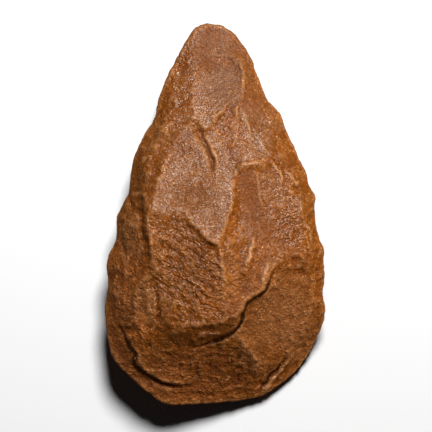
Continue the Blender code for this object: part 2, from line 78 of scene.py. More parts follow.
# Arrises of the upper face: (x, y, z) along each ridge.
UPPER_ARRISES = {
    "tip scar, left": [
        (-6, 70, 12.4), (-8.2, 64, 14.2), (-7.8, 57, 15.8), (-8.4, 51, 18), (-9.2, 44.5, 20.4),
        (-8, 37.5, 23.1),
    ],
    "tip scar, lip": [
        (-3, 62.6, 14.5), (1, 63.2, 14.2), (5, 62.2, 14.4), (7.4, 61, 14.7), (9.8, 57.5, 15.6),
    ],
    "tip scar, head": [(-7.8, 57, 15.8), (-3, 56.2, 14.9), (3, 56.4, 14.9), (8.4, 57.2, 15)],
    "tip scar, right": [(9.8, 57.5, 15.6), (11, 53, 17.2), (10.6, 48, 18.8), (8, 45.6, 20)],
    "tip scar, end": [
        (-8, 37.5, 23.1), (-4, 32.2, 24.6), (-1, 35, 23.6), (2.5, 39.3, 22.2), (5.3, 43, 20.9),
        (8, 45.6, 20),
    ],
    "plate, left": [
        (-8, 37.5, 23.1), (-11.5, 33, 24.4), (-14.5, 29.5, 25.7), (-17, 25, 27.2), (-19, 19.5, 29),
        (-21.5, 14, 30.8), (-22.6, 9, 32.4), (-24, 4.2, 33.8),
    ],
    "plate, right": [
        (-4, 32.2, 24.6), (-2.9, 27.5, 26), (-2.2, 22.5, 27.6), (-1.6, 17, 29.2), (-2.2, 11.5, 30.9),
        (0.5, 8, 31.9), (2.5, 3.5, 33.3), (3.8, -1.5, 34.8),
    ],
    "plate, foot": [
        (-26.2, 3, 33.4), (-24, 2.2, 34.3), (-19.7, 0.9, 34.8), (-14, 2, 34.4), (-10.5, -1.2, 35.3),
        (-8, -5, 36.3), (-5.6, -7.2, 37), (-3.3, -10.2, 37.8), (0.8, -11.7, 38.2),
    ],
    "crest": [(8, 45.6, 20), (8.3, 42, 21.1), (8.6, 36, 22.9), (8.4, 30, 24.8), (8, 24, 26.6)],
    "plate, edge": [
        (8, 24, 26.6), (8.2, 19, 28.4), (7.6, 14.5, 29.8), (6.6, 9, 31.5), (5.5, 2.2, 33.6),
        (3.8, -1.5, 34.8), (3, -6.5, 36.4), (0.8, -11.7, 38.2),
    ],
    "spine": [(0.8, -11.7, 38.2), (2.2, -18.5, 37.4), (3, -27, 36.8), (3.6, -33, 36.3), (4.2, -40, 35.8)],
    "plateau, rise": [
        (-3.3, -10.2, 37.8), (-5, -16, 36.6), (-5.8, -24, 36.5), (-6.4, -33, 36.2), (-6, -42.8, 35.2),
    ],
    "left crest": [
        (-16.5, 48, 17.8), (-18.5, 40, 20.4), (-21, 33, 22.6), (-24.5, 26, 24.4), (-26.6, 18, 26.6),
        (-27, 9, 29.8), (-26.2, 3, 33.4), (-26, -3, 34.4), (-25.4, -10, 35), (-24.6, -16, 35),
        (-22, -22, 34.8),
    ],
    "left slope": [
        (-22, -22, 34.8), (-27, -25, 32.8), (-30, -30, 31.2), (-31.2, -36, 30.4), (-30.6, -42, 29.8),
        (-28.6, -48, 28.8),
    ],
    "left shoulder": [
        (-37.4, -18, 24), (-39.2, -25, 24.4), (-39.4, -33, 24.6), (-37.8, -40, 25),
        (-35.4, -45.6, 25.4),
    ],
    "plateau, corner": [(-16, -34, 34.8), (-18.6, -40, 33.6), (-17, -45.6, 32.8)],
    "left bulge": [
        (-33.6, 6, 22.8), (-35.2, 1, 24.4), (-35.2, -5, 25.2), (-35.8, -11, 25.2), (-37.4, -18, 24),
    ],
    "scar, lip foot": [
        (8, 24, 26.6), (9.2, 21.6, 27.3), (12.5, 22, 27), (16, 21.6, 26.6), (19, 20.4, 26.4),
    ],
    "scar, lip": [(8.2, 19, 28.4), (9.4, 18.6, 29.2), (12.5, 19, 28.8), (16, 18.7, 28.2), (18.8, 18, 27.4)],
    "scar, left": [(9.8, 14.5, 29.2), (9.6, 9, 29.6), (9, 2.2, 30.6), (8.2, -5, 32.6), (5.4, -12, 36.4)],
    "scar, right": [
        (18.8, 18, 27.4), (18.4, 12, 27.6), (18.6, 6, 28.2), (17.8, 0, 29.2), (16.4, -7, 31),
        (14.4, -13, 33.2), (11, -22, 35.4),
    ],
    "right flank": [
        (8.3, 42, 21.1), (11.5, 38.5, 21.4), (16, 31, 22.8), (19, 26.5, 24), (24, 22.8, 23.6),
        (28, 20.5, 22.6),
    ],
    "right crest": [
        (13.6, 55, 14.6), (15.4, 50, 16), (19.6, 40.5, 18.2), (24.5, 30, 20.6), (28, 20.5, 22.6),
        (31.6, 12, 24.4), (33.5, 4, 26), (34.5, -5, 27), (36, -13, 26.6), (37, -17.6, 25.4),
    ],
    "ledge, end": [
        (-17, -45.6, 32.8), (-14, -44.4, 33.8), (-11, -43.2, 34.6), (-6, -42.8, 35.2),
        (0, -42.2, 35.4), (4.2, -40, 35.8), (7.6, -39.4, 35.4),
    ],
    "ledge, top": [
        (7.6, -39.4, 35.4), (10.6, -36.6, 35.2), (13.5, -33.4, 34.8), (18.4, -28.6, 33.7),
        (20.7, -24, 32.9), (23.3, -18.9, 31.6),
    ],
    "ledge, middle": [
        (-15, -48.6, 30.8), (-11, -48, 30.6), (-5, -47.5, 30.6), (1.5, -46.8, 30.8), (6, -44.6, 31.3),
        (9, -41.4, 32.4),
    ],
    "ledge, foot": [
        (-14, -52.8, 27.6), (-10, -52.5, 27), (-5, -51.7, 26.9), (-0.5, -50.3, 27), (4, -48.7, 27.4),
        (7.6, -46.3, 28.2), (10, -42.8, 29.2), (11.6, -38.8, 30.2), (14.8, -35, 30.6), (19, -30.8, 30.4),
        (21.8, -26.8, 30.2), (23.4, -22.6, 29.8),
    ],
    "lower right, top": [(23.3, -18.9, 31.4), (27.5, -17.4, 30), (32.5, -17, 28.2), (37, -17.6, 25.4)],
    "lower right, foot": [(23.4, -22.6, 29.8), (28.4, -19.8, 28.6), (33, -20, 26.8), (38, -22, 23.6)],
    "lower right, outer": [
        (38, -22, 23.6), (38, -30, 21.6), (37, -39, 18.8), (33.4, -48, 16.2), (27.6, -56.4, 13.6),
    ],
    "butt": [(7.6, -46.3, 28.2), (12, -52, 23.9), (16, -58, 18.8), (19.4, -64.4, 12.6)],
    "butt, right": [(27.6, -56.4, 13.6), (22.8, -62.6, 11.6), (18.2, -68, 9)],
    "rim bench, top": [
        (-35.4, -45.6, 25.4), (-33.4, -51, 25.8), (-31.4, -57.2, 25.2), (-29.4, -61, 24.2),
        (-26, -63.6, 22.8), (-21, -65.4, 21.6), (-15, -66.4, 20.2), (-9, -66.4, 18.6),
    ],
    "rim bench, foot": [
        (-36.4, -46.2, 23.6), (-34.8, -51.6, 22.8), (-33, -58, 22), (-30.8, -62, 21),
        (-26.6, -65, 20), (-21.2, -66.8, 19.4), (-15, -67.8, 18.2), (-9, -67.6, 17.4),
    ],
}

# Arrises of the face it lies on. The ring around its seat dips below zero and is ground off level.
DIP = -0.5
LOWER_ARRISES = {
    "seat": [
        (0, 7, DIP), (-8, 1, DIP), (-11, -12, DIP), (-9, -26, DIP), (-2, -33, DIP), (6, -30, DIP),
        (10, -18, DIP), (8, -3, DIP), (0, 7, DIP),
    ],
    "seat, middle": [(0, 7, DIP), (-1, -13, DIP), (-2, -33, DIP)],
    "keel": [
        (0, 7, DIP), (-2, 16, 0.5), (-3, 26, 1), (-1, 38, 1.9), (1, 50, 3), (0.5, 62, 4.4), (-1, 70, 5.6),
    ],
    "left, upper": [(-8, 1, DIP), (-13, 8, 0.9), (-19, 15, 3.4), (-24, 22, 7.2), (-28, 27, 11.2)],
    "left, middle": [(-11, -12, DIP), (-17, -13, 1), (-24, -11, 3.4), (-32, -12, 7.6), (-38.5, -13, 12.4)],
    "left, lower": [(-9, -26, DIP), (-15, -35, 1), (-24, -42, 4), (-32, -49, 8.4), (-37, -54, 12)],
    "butt, left": [(-2, -33, DIP), (-6, -45, 0.8), (-9, -55, 2.4), (-14, -64, 4.8), (-16, -71, 7)],
    "butt, right": [(6, -30, DIP), (10, -41, 0.6), (16, -50, 1.1), (23, -58, 1.3), (28, -62, 1.4)],
    "right, lower": [(10, -18, DIP), (16, -23, 0.9), (24, -27, 2.5), (33, -32, 5.8), (40, -34, 9.6)],
    "right, middle": [(8, -3, DIP), (15, -4, 1.1), (22, -1, 3.6), (30, 2, 8), (36, 3, 12.5)],
    "right, upper": [(0, 7, DIP), (9, 12, 1), (15, 21, 3.2), (21, 28, 6.9), (26, 32, 11)],
    "tip, left": [(-3, 26, 1), (-10, 34, 4), (-16, 42, 7.4), (-19, 46, 9.6)],
    "tip, right": [(1, 50, 3), (7, 54, 4.6), (13, 56, 7.2)],
    "scar end, left": [(-13, 8, 0.9), (-15, 0, 1.6), (-17, -13, 1)],
    "scar end, right": [(15, -4, 1.1), (17, -13, 1.7), (16, -23, 0.9)],
}

# How hard each skin sags inwards between its arrises, as a curvature in 1/mm.
UPPER_SAG = 0.02
LOWER_SAG = 0.012

# Flakes off the edges: x, y, bearing of their length in degrees, half length, half width, depth.
UPPER_FLAKES = [
    (27.5, 29, 200, 7, 5.5, 0.9), (31.5, 21, 195, 6, 4, 0.9), (35.5, 10, 185, 6, 5, 1),
    (38, -4, 180, 6, 5.5, 0.6), (16.8, 50, 205, 5, 6, 0.8),
    (-15.8, 57, -20, 5, 6, 0.8), (-21.2, 43, -15, 5, 5, 0.9), (-26, 31, -12, 5, 5, 0.9),
    (-32, 15, -5, 5, 6, 0.9), (-38, -15, 0, 5, 4.5, 0.9), (-39.5, -26, 5, 6, 5, 1.1),
    (-40, -38, 10, 5, 6, 0.7),
]
LOWER_FLAKES = [
    (31, 14, 190, 9, 6, 1.3), (36, -14, 180, 8, 7, 1.4), (38, -40, 165, 8, 6, 1.2),
    (16, -65, 110, 8, 7, 0.5), (-26, -62, 50, 9, 7, 1.2), (-37, -34, 10, 8, 8, 1.5),
    (-34, 2, -5, 8, 7, 1.4), (-22, 34, -20, 7, 6, 1.2), (18, 42, 205, 7, 6, 1.1),
    (-12, 58, -25, 6, 6, 0.9), (8, 64, 215, 5, 5, 0.8),
]

# Steps of the upper face: path with the low side on its left, drop, and how far the low side reaches.
UPPER_STEPS = [
    ([(1.6, -16), (1, -12.8), (-2.8, -11), (-5.4, -8), (-8, -5.6), (-11.5, -2.6)], 0.8, 5),
    ([(8, 45.6), (5.3, 43), (2.5, 39.3), (-1, 35), (-4, 32.2), (-6, 35), (-8.2, 38.2)], 0.6, 4),
    ([(10.6, 48), (11, 53), (9.6, 58), (6, 61.4), (1, 62.6), (-3, 62)], 0.4, 6),
    ([(-28.5, 8), (-28.2, 1), (-27, -7), (-25.6, -16.5)], -0.8, 6),
]

# Grooves and low ridges of the upper face: path, height (below zero cuts in), half width.
UPPER_TRACES = [
    ([(-29.4, 5.5), (-28.9, 0), (-28.3, -6.5), (-27.4, -12.5), (-26.6, -17)], -1.6, 1.4),
    ([(-8.8, 36.6), (-6, 31), (-4, 27), (-1.8, 22), (-1, 15)], -1, 1.1),
    ([(-37.2, -6.6), (-36.2, -10.5), (-35.4, -14), (-35.4, -18)], -1, 1.1),
    ([(-27, -27), (-26.2, -33), (-25, -41)], 0.6, 1.4),
    ([(27, -16.6), (30.4, -17.8), (34, -18)], -1, 1.3),
    ([(31, -22.6), (36, -23.6), (40.4, -22.8)], -0.7, 1.4),
]

# The grid each skin is worked out on: half its size, its finest cell, how many times coarser it starts,
# and the sweeps and over-relaxation of each pass.
GRID_HALF = np.array([48.0, 80.0])
GRID_CELL = 0.5
COARSEST = 16
SWEEPS = 80
OVER_RELAX = 1.85
# Points past the grid are read this many cells short of its end.
GRID_END = 1.001

# Points on each leg of an arris and of a carved path, and the share of a path over which it fades.
ARRIS_POINTS = 40
PATH_POINTS = 5
END_FADE = 0.22

# How the ridges wander: over what distance, and how far. The seed fixes where.
STIRS = [(6.0, 0.7), (2.2, 0.5)]
STIR_SEED = 3

# The ball that is wrapped onto the form, and the size of the quads it is then remade of.
CUBE_LEVELS = 8
VOXEL = 0.00058

# Fine relief of the broken faces: sizes and heights in millimetres, chip slope as rise over run.
RELIEF = {
    "Lump size": 5.0, "Lump height": 0.55,
    "Chip size": 3.8, "Chip slope": 0.07,
    "Ripple size": 3.0, "Ripple height": 0.35,
    "Nick size": 5.0, "Nick depth": 0.6, "Rim growth": 0.5,
    "Seed": 3.0,
}
# How much finer noise the lumps carry, and the ripples and nicks, how strong it is, and how soft the
# borders of the chips are.
LUMP_DETAIL = 1.0
FINE_DETAIL = 2.0
DETAIL_STRENGTH = 0.5
CHIP_SOFTNESS = 0.25

# Fine grooves and ridges of the upper face: path, height (below zero cuts in), half width.
FINE_TRACES = [
    ([
        (24, -18.6), (21.3, -25.2), (18.4, -29.7), (15.6, -32.6), (13, -34.6), (10.8, -38.2), (10.2, -41.4),
        (8, -44.6), (3.8, -47.4), (-0.4, -49.4), (-5, -50.9), (-13, -52),
    ], -1.4, 0.7),
    ([
        (-37.6, -41.5), (-36, -46), (-33.6, -51), (-31.6, -55.3), (-31.2, -59.2), (-28.6, -62),
        (-24.7, -64.1), (-17.8, -67), (-8, -67),
    ], -1.3, 0.9),
    ([(-6.4, 32), (-4.2, 27.4), (-2, 22.4), (-1, 16.6), (0, 12)], -0.55, 0.8),
    ([(-4.6, 31.6), (-2.5, 27), (-0.2, 22.2), (0.9, 17)], 0.5, 0.6),
    ([(28.6, -54.6), (26.4, -58), (22.4, -63.4), (18.2, -68.6), (16, -71.5)], -1.1, 0.6),
    ([(30.4, -55.4), (28, -59), (24, -64.4), (19.6, -69.2), (17.6, -72)], 0.8, 0.6),
    ([(-33.6, 8.6), (-33, 5.2), (-32, 2.4)], -0.8, 0.8),
    ([(-23.4, -25), (-22.6, -31), (-21.8, -38), (-22.4, -43)], -0.7, 0.8),
    ([(-7, -46.4), (-1, -46.6), (3, -46)], 0.7, 1),
    ([(-1.2, 24.6), (0.4, 21.2)], 0.6, 0.8),
    ([(14.9, -8), (13.8, -14), (11.6, -20.6)], 0.8, 0.7),
    ([(20.8, -17.4), (19.4, -22.6), (17.8, -27.6)], 0.8, 0.8),
    ([(15.2, 18), (16.4, 12), (17.2, 6), (18, 1)], 0.4, 0.6),
    ([(21.3, 20.4), (25.6, 14.6), (24.4, 9)], 0.7, 0.6),
    ([(26.4, 18), (30, 14), (33.6, 10)], 0.55, 0.6),
    ([(32.6, -3), (36.4, -6.4), (37.2, -12.6)], 0.5, 0.7),
    ([(8.2, 42), (8.6, 38)], 0.6, 0.8),
    ([(3, 39.8), (-0.6, 38), (-2.8, 37.6)], 0.4, 0.7),
    ([(10.4, 40.6), (12.6, 34), (14.3, 28)], 0.35, 0.6),
    ([(16.6, 28.2), (19.6, 24.6), (22.1, 21.8)], 0.35, 0.6),
    ([(9.4, 19.4), (13, 19.8), (18, 19)], 0.9, 0.9),
    ([(7, 7), (5.6, 1), (4.1, -4), (1.6, -10.6)], 0.35, 0.6),
    ([(1.4, -12), (2.5, -18.9), (4.1, -29.9)], 0.35, 0.8),
    ([(6, 62.6), (9, 61), (10.8, 56), (10.8, 48)], 0.35, 0.7),
    ([(-35.6, 5.6), (-31.4, 7.4), (-27.6, 8)], 0.5, 1),
    ([(-28.4, 19.8), (-27.4, 23)], 0.6, 0.8),
]

# How far in from the outline the nicked rim reaches.
RIM_WIDTH = 3.0

# Marks fade where the upper face turns over into the edge: by how far it faces up, times this.
FACING_GAIN = 3

# The heading that the ripples run along, and how far each axis of their noise is stretched.
RIPPLE_HEADING = np.radians(-32)
RIPPLE_STRETCH = (2.6, 1.0, 1.6)

# Areas of the upper face as soft ovals: x, y, bearing of their length, half length, half width, strength.
AREAS = {
    "rippled": [(-10, -22, -50, 26, 18, 1), (8, -20, -60, 18, 10, 0.6)],
    "ringed": [(-8, 6, -20, 11, 7, 1), (0, -4, -60, 8, 5, 0.6)],
    # Dark stains, partly real and partly painted shade.
    "stain_and_shade": [
        (14, 3, 85, 14, 5, 1), (-5, 61, -60, 8, 5, 1), (-2, 69, 20, 7, 5, 0.8),
        (16, -7, 60, 8, 4, 0.6), (-37, -53, 110, 9, 3, 0.9), (-5, -70, 5, 22, 5, 0.9),
        (30.5, -17.5, -10, 5, 2.5, 0.8), (-14, 28, 60, 6, 4, 0.7), (-23, 6, 80, 5, 3, 0.6),
        (-5, -47.5, 8, 15, 4, 1), (-16, -58, 10, 10, 6, 0.8), (-26, -66, -30, 9, 3, 1),
        (-2, -57, 0, 12, 6, 0.9), (12, -64, 20, 10, 5, 0.6), (8, 64, -60, 12, 7, 0.6),
        (-22, 8, 80, 9, 4, 0.4), (14, 43, -60, 8, 5, 0.7), (13, 10, -85, 12, 5, 0.9),
        (18, -5, -60, 9, 5, 0.9),
    ],
    # Paler areas, partly paler stone and partly painted light on shaded faces, with the lip's painted
    # highlight.
    "pale_and_lit": [
        (29, -42, -55, 22, 14, 0.75), (-28, -36, 75, 15, 9, 0.35), (24, 8, 80, 12, 6, 0.15),
        (-22, 30, 60, 9, 5, 0.8), (-33, -9, 90, 13, 6, 0.85), (13.4, 19.8, -5, 7.5, 2.6, 1),
        (20, -45, -60, 9, 6, 0.7), (11, -47.5, -40, 7, 4, 0.8), (14, -57, -50, 11, 6, 0.85),
        (31, -52, -55, 10, 6, 0.85), (-38.5, -30, 85, 8, 3, 0.3),
    ],
    "coarse": [
        (-2, -62, 0, 38, 13, 1), (-34, -20, 90, 36, 8, 0.8), (30, -45, -60, 26, 16, 0.7),
        (-10, -24, -50, 26, 16, 0.5),
    ],
    "matt": [
        (24, -40, -60, 38, 26, 1), (0, -64, 0, 50, 20, 1), (-36, -34, 80, 30, 10, 0.7),
        (13, 8, -85, 13, 5, 0.8), (18, -5, -60, 9, 5, 0.5), (14, 42, -60, 9, 6, 0.5),
        (3, 56, -80, 26, 13, 0.55),
    ],
    "sugary": [(-8, 8, 60, 24, 13, 1), (-8, -26, -50, 24, 14, 0.5)],
    "rusty": [(-30, -45, 80, 9, 5, 0.9), (-4, -36, -40, 10, 6, 0.3), (-33, -24, 85, 16, 5, 0.55)],
    # Areas of painted shade, whose colour is dimmed.
    "shaded": [
        (2, 58, -85, 26, 15, 1), (17, 32, -70, 14, 8, 0.8), (17, -4, -60, 9, 6, 0.6),
        (26, 0, -75, 22, 10, 0.4), (-11, 27, -60, 8, 6, 0.6),
    ],
}
# How steeply an oval rises from its rim.
OVAL_EDGE = 1.6

# Smooth plates: how calm the break is, how far wear greys it (the grey partly painted sheen), and the
# outline.
PLATES = [
    (0.9, 0.9, [
        (-7.2, 53.1), (-8.8, 47.7), (-9.2, 37.5), (-4.1, 32.8), (-1.4, 35.9), (2.5, 39.8), (6.1, 44.9),
        (9.6, 48.4), (10, 56.3), (6.9, 57.8), (1, 55.5), (-4.1, 54.3),
    ]),
    (0.75, 1, [
        (-10, 24), (-13.1, 21), (-18.6, 17.1), (-20.6, 12), (-22.5, 7.3), (-24.5, 4.2), (-23.7, 2.2),
        (-21.7, 0.3), (-15.9, 2.2), (-11, -1), (-7.6, -5.6), (-4.9, -7.2), (-2.9, -9.5), (0.2, -11.5),
        (3.7, -4), (4.5, 0.7), (6.5, 7.3), (6.5, 15.2), (5.7, 21), (2.5, 26.9), (-1.4, 32), (-4.1, 30.8),
        (-6.1, 26.9),
    ]),
    (1, 1, [(9.6, 44.5), (18.2, 39.8), (23.3, 28.9), (20.6, 21.4), (10.8, 21.4), (10.4, 34.7)]),
    (0.7, 0.9, [(17.8, 18.4), (25.3, 16.3), (27.4, 9.3), (25, 2.5), (18.6, 2.2), (16.8, 9.3)]),
    (0.7, 0.5, [(-1, 74), (6, 70.5), (11, 62), (7, 60.5), (-1, 61.5), (-3, 68)]),
    (0.3, 0.8, [(11.6, 62), (18.2, 48.4), (27.2, 32.8), (23.3, 30.8), (13.5, 44.5), (8.8, 58.2)]),
    (0.4, 0.9, [(-28, -29), (-24, -29), (-22.6, -40), (-26, -44.5), (-28.2, -38)]),
    (0.5, 0, [(10.4, 17.6), (17.8, 16.6), (17.4, 0), (12, -8), (8.6, 0)]),
    (0.6, 0.35, [(24, -21), (36, -25), (38, -40), (31, -52), (18, -54), (11, -44), (17, -34)]),
]
# How ragged their outlines are, in the terms of STIRS, and how wide they blend.
RAGGED = [(4.0, 1.8), (1.6, 0.9)]
PLATE_BLEND = 0.9

# Bumps of the skin. Noise: size, detail, roughness and seed. Then the height it gives in millimetres.
BUMPS = {
    "wrinkles": ((2.6, 3.0, 0.5, 7.0), 1.0),
    "grit": ((0.9, 2.0, 0.5, 1.0), 0.42),
    "creases": ((1.6, 2.0, 0.6, 13.0), 0.35),
    "ripples": ((2.4, 3.0, 0.6, 3.0), 2.2),
}

# Slow noise that bends chips and wrinkles: its scale, how far it carries each, and the wrinkles' seed.
WANDER_SCALE = 0.3
CHIP_WANDER = 1.6
WRINKLE_WANDER = 4.0
WRINKLE_SEED = 2.0

# Slower noise that bends the ripples: its size, how far it carries them, and its seed.
SWAY_SIZE = 12.0
SWAY = 9.0
SWAY_SEED = 6.0

# Rings on the long plate: their middle, spacing and height, how far the wrinkles push them about, and
# how much higher the creases are among them.
RING_CENTRE = (2.0, -12.0, 0.0)
RING_SPACING = 1.5
RING_HEIGHT = 0.09
RING_PUSH = 6.0
RINGED_CREASES = 1.0

# What a calm plate keeps of its lumps, wrinkles and grain tilt, and what coarse and sugary areas gain.
CALM_LUMPS = 0.25
CALM_WRINKLES = 0.35
CALM_TILT = 0.7
COARSE_GAIN = 0.6
SUGAR_GAIN = 1.3

# Quartz grains: size, slope, and how far apart their shades are, on rough skin and on calm.
GRAIN_SIZE = 0.55
GRAIN_SLOPE = 0.5
GRAIN_SHADES = (0.72, 0.48)

# The few grains that are pale, partly as painted glints, and the few that shine: the random values between
# which they come in, and then how pale they turn, or how much smoother.
GLINT_AND_PALE_GRAINS = (0.965, 0.98, 0.0, 0.5)
BRIGHT_GRAINS = (0.88, 0.9, 0.0, 0.12)

# Random colours stand for directions. This is the one that points nowhere.
MIDDLE_GREY = (0.5, 0.5, 0.5)

# The stone's browns, from its ground colour to its palest grains.
DEEP_BROWN = (0.150, 0.042, 0.0050)
ORANGE_BROWN = (0.255, 0.077, 0.0100)
RUST = (0.285, 0.071, 0.0060)
TAN = (0.29, 0.100, 0.020)
# Grey of the worn plates, partly painted sheen.
WORN_SHEEN_GREY = (0.245, 0.109, 0.044)
BRIGHT_RUST = (0.42, 0.110, 0.012)
# Painted highlight on ridges and lit patches.
HIGHLIGHT_TAN = (0.34, 0.14, 0.045)
# Painted shade in hollows and grooves, and the dark of stains.
SHADE_AND_STAIN_BROWN = (0.135, 0.032, 0.002)
# Painted shadow in the cracks.
CRACK_SHADOW = (0.020, 0.006, 0.001)
# Painted highlight on the lip.
LIP_HIGHLIGHT = (0.52, 0.27, 0.145)
# Pale grains, partly painted glints.
GLINT_AND_PALE_SPECK = (0.55, 0.26, 0.10)

# Clouds of a finish. Noise: size, detail, roughness and seed. Then the range of it that counts, and
# what that gives.
CLOUDS = {
    "orange": ((9.0, 4.0, 0.6, 0.0), (0.38, 0.62, 0.0, 1.0)),
    "rust": ((3.0, 4.0, 0.7, 2.0), (0.45, 0.7, 0.0, 0.55)),
    "tan": ((1.5, 3.0, 0.7, 5.0), (0.52, 0.72, 0.0, 0.45)),
    "wear_and_sheen_cloud": ((2.2, 3.0, 0.7, 9.0), (0.35, 0.6, 0.45, 1.0)),
    "stain_and_shade_cloud": ((1.8, 3.0, 0.6, 11.0), (0.35, 0.6, 0.5, 1.0)),
    "lip_highlight": ((1.3, 3.0, 0.7, 15.0), (0.42, 0.58, 0.0, 1.0)),
    "roughness": ((1.2, 2.0, 0.6, 4.0), (0.3, 0.7, 0.28, 0.38)),
}

# Painted light by height: crests, bulges and raised traces get painted highlights, the lip a stronger one,
# hollows and grooves painted shade, and the deepest cracks painted shadow. Columns: what is read, the
# heights in millimetres between which it comes in, its full share, its colour, and the cloud that breaks it
# up.
PAINTED_LIGHT_BY_HEIGHT = [
    ("relief", 0.0, 0.2, 0.4, HIGHLIGHT_TAN, None),
    ("relief", 0.0, -0.2, 0.65, SHADE_AND_STAIN_BROWN, None),
    ("bulge", 0.02, 0.16, 0.5, HIGHLIGHT_TAN, None),
    ("bulge", -0.02, -0.2, 0.65, SHADE_AND_STAIN_BROWN, None),
    ("trace", 0.05, 0.8, 0.9, HIGHLIGHT_TAN, None),
    ("trace", 0.3, 0.8, 0.7, LIP_HIGHLIGHT, "lip_highlight"),
    ("trace", -0.15, -0.6, 0.85, SHADE_AND_STAIN_BROWN, None),
    ("trace", -0.6, -1.0, 0.9, CRACK_SHADOW, None),
]
# Rounds of smoothing that a bulge is measured from.
BULGE_ROUNDS = 12

# Full shares of these areas' colours: wear with painted sheen, paler colour with painted light, stains with
# painted shade, and the dimming of painted shade; and where a pale area turns to the lip's painted
# highlight.
WORN_SHEEN_SHARE = 0.75
PALE_AND_LIT_SHARE = 0.8
STAIN_AND_SHADE_SHARE = 0.66
SHADED_SHARE = 0.16
LIP_HIGHLIGHT_RANGE = (0.9, 1.0)

# Roughness that matt areas and areas of stains and painted shade gain and ripples lose, and the shine of the
# whole stone.
MATT_ROUGHNESS = 0.32
STAIN_AND_SHADE_ROUGHNESS = 0.2
RIPPLED_GLOSS = 0.05
STONE_SPECULAR = 0.44
SPECULAR_TINT = (1.0, 0.91, 0.80, 1.0)

# Lamps: direction, width, watts, and whether it lights the floor too. Then how far off they all
# stand, and what they point at.
LAMPS = {
    "soft lamp": ((0.14, 0.70, 0.9), 0.32, 14.3, True),
    "side fill": ((0.93, 0.02, 0.37), 0.6, 9.0, False),
    "front fill": ((-0.6, -0.15, 0.78), 0.8, 1.2, False),
}
LAMP_DISTANCE = 1.0
LAMP_TARGET = Vector((0, 0, 0.02))

# The room is dark to the stone but pale to the camera, and the floor is white to the camera but
# throws back little light, and warm.
ROOM_LIGHT = 0.006
BACKDROP_WHITE = 0.85
FLOOR_SIZE = 1.7
FLOOR_ROUGHNESS = 0.9
FLOOR_WHITE = (0.97, 0.97, 0.97)
FLOOR_BOUNCE = (0.20, 0.12, 0.06)

# The camera looks straight down: its lens and film in millimetres, the nearest it sees, the place it
# looks at, and the width it takes in there.
LENS = 180.0
SENSOR = 36.0
NEAREST_SEEN = 0.01
VIEW_CENTRE = (0.0002, -0.0009, 0.018)
VIEW_WIDTH = 0.1692


# ---- form ----


def closed_curve(bearings, values, at):
    """A smooth curve through values round the circle, read at the bearings given in radians."""
    bearings = np.mod(np.asarray(bearings, float), TURN)
    order = np.argsort(bearings)
    knots, values = bearings[order], np.asarray(values, float)[order]
    knots = np.concatenate([knots[-2:] - TURN, knots, knots[:3] + TURN])
    values = np.concatenate([values[-2:], values, values[:3]])
    gap = np.diff(knots)
    slope = np.diff(values) / gap
    tangent = np.zeros_like(values)
    tangent[1:-1] = (slope[:-1] * gap[1:] + slope[1:] * gap[:-1]) / (gap[:-1] + gap[1:])
    at = np.mod(at, TURN)
    i = np.clip(np.searchsorted(knots, at, side="right") - 1, 1, len(knots) - 3)
    u = (at - knots[i]) / gap[i]
    start = (2 * u**3 - 3 * u**2 + 1) * values[i] + (u**3 - 2 * u**2 + u) * gap[i] * tangent[i]
    end = (3 * u**2 - 2 * u**3) * values[i + 1] + (u**3 - u**2) * gap[i] * tangent[i + 1]
    return start + end


def polar(x, y):
    """Bearing and distance from CENTRE."""
    dx, dy = x - CENTRE[0], y - CENTRE[1]
    return np.arctan2(dy, dx), np.hypot(dx, dy)


def outline_radius(bearing):
    knots, radii = polar(*np.array(OUTLINE).T)
    return closed_curve(knots, radii, bearing)


def edge_shape(bearing):
    """Height, half thickness and turn of the edge at each bearing."""
    degrees, *columns = np.array(EDGE, float).T
    return [closed_curve(np.radians(degrees), column, bearing) for column in columns]


def bend(points, per_leg):
    """Points on a smooth curve through the given ones, per_leg for each stretch between two."""
    p = np.asarray(points, float)
    q = np.vstack([2 * p[0] - p[1], p, 2 * p[-1] - p[-2]])
    curve = []
    for a, b, c, d in zip(q, q[1:], q[2:], q[3:]):
        for t in np.arange(per_leg) / per_leg:
            curve.append(
                b + 0.5 * t * (c - a) + t**2 * (a - 2.5 * b + 2 * c - 0.5 * d)
                + t**3 * (1.5 * b - 1.5 * c + 0.5 * d - 0.5 * a)
            )
    curve.append(p[-1])
    return np.array(curve)


def read_grid(grid, cell, x, y):
    """Values between the nodes of a grid that starts at minus GRID_HALF."""
    gx = np.clip((x + GRID_HALF[0]) / cell, 0, grid.shape[1] - GRID_END)
    gy = np.clip((y + GRID_HALF[1]) / cell, 0, grid.shape[0] - GRID_END)
    ix, iy = gx.astype(int), gy.astype(int)
    fx, fy = gx - ix, gy - iy
    low = grid[iy, ix] * (1 - fx) + grid[iy, ix + 1] * fx
    high = grid[iy + 1, ix] * (1 - fx) + grid[iy + 1, ix + 1] * fx
    return low * (1 - fy) + high * fy


def relax(skin, free, pull):
    """Settles the free nodes to the mean of their neighbours, less pull, every other node in turn."""
    rows, columns = np.indices(skin.shape)
    for _ in range(SWEEPS):
        for colour in (0, 1):
            chosen = free & ((rows + columns) % 2 == colour)
            mean = np.zeros_like(skin)
            mean[1:-1, 1:-1] = (skin[2:, 1:-1] + skin[:-2, 1:-1] + skin[1:-1, 2:] + skin[1:-1, :-2]) / 4
            skin = np.where(chosen, skin + OVER_RELAX * (mean - pull - skin), skin)
    return skin


